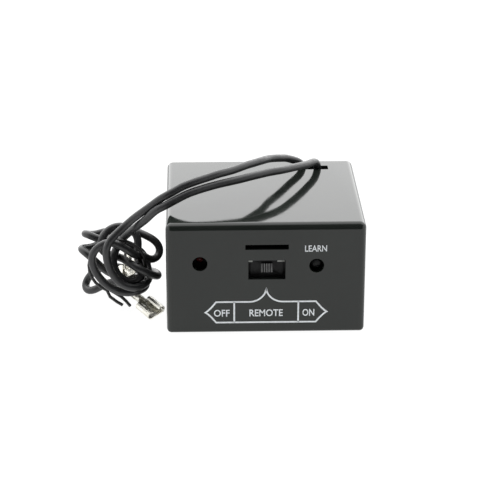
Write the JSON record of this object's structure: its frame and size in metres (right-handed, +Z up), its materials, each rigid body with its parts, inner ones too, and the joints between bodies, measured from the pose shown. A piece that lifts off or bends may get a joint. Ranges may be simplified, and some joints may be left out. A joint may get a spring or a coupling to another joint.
{
  "type": "remote control receiver",
  "caption": "Small black battery-powered remote receiver box with a slide switch, a learn button, an indicator hole and leads that end in push-on terminals.",
  "frame": {"origin": "middle of the case's footprint, on the surface that it stands on", "axes": "+X to the right of the control face, +Y from the control face to the rear, +Z up"},
  "size_m": [0.1048, 0.068, 0.0552],
  "materials": {
    "case_black": "moulded satin black with a fine spark texture",
    "cell_sleeve": "printed film sleeve, plain",
    "plated_steel": "bright nickel plate",
    "screw_steel": "zinc plated",
    "board_green": "solder mask, slightly glossy",
    "relay_blue": "moulded",
    "inner_black": "moulded",
    "capacitor_sleeve": "shrunk sleeve",
    "wire_black": "soft insulation with a satin gloss",
    "switch_laminate": "laminate",
    "knob_black": "ribbed, satin",
    "lamp_red": "tinted diffused lens",
    "tie_black": "coated wire",
    "tinned_brass": "tin plate, softly bright"
  },
  "bodies": {
    "receiver": {"case_top": "case_black", "case_base": "case_black", "battery_cell_1": "cell_sleeve", "battery_cell_2": "cell_sleeve", "battery_cell_3": "cell_sleeve", "battery_cell_4": "cell_sleeve", "contact_positive": "plated_steel", "contact_negative": "plated_steel", "contact_link_rear": "plated_steel", "contact_link_front_left": "plated_steel", "contact_link_front_right": "plated_steel", "battery_spring_1": "plated_steel", "battery_spring_2": "plated_steel", "battery_spring_3": "plated_steel", "battery_spring_4": "plated_steel", "case_screw_front_left": "screw_steel", "case_screw_front_right": "screw_steel", "case_screw_rear_left": "screw_steel", "case_screw_rear_right": "screw_steel", "circuit_board": "board_green", "radio_board": "board_green", "relay": "relay_blue", "controller_chip": "inner_black", "sounder": "inner_black", "lead_clamp": "inner_black", "lamp_holder": "inner_black", "button_switch": "inner_black", "crystal": "plated_steel", "radio_shield_can": "plated_steel", "capacitor": "capacitor_sleeve", "antenna_wire": "wire_black", "switch_frame": "plated_steel", "switch_base": "switch_laminate", "indicator_lamp": "lamp_red", "coil_front": "wire_black", "coil_back": "wire_black", "lead_1": "wire_black", "lead_2": "wire_black", "tail_1": "wire_black", "tail_2": "wire_black", "twist_tie": "tie_black", "push_on_terminal_1": "tinned_brass", "push_on_terminal_2": "tinned_brass"},
    "knob": {"slide_knob": "knob_black"},
    "button": {"learn_button": "knob_black"},
    "door": {"battery_door": "case_black"}
  },
  "joints": [
    {"name": "knob_slide", "type": "slide", "parent": "receiver", "child": "knob", "axis": [1, 0, 0], "range_m": [-0.003, 0.003]},
    {"name": "button_press", "type": "slide", "parent": "receiver", "child": "button", "axis": [0, 1, 0], "range_m": [0, 0.0003], "stiffness_N_per_m": 2000},
    {"name": "door_slide", "type": "slide", "parent": "receiver", "child": "door", "axis": [0, 1, 0], "range_m": [0, 0.008]}
  ]
}
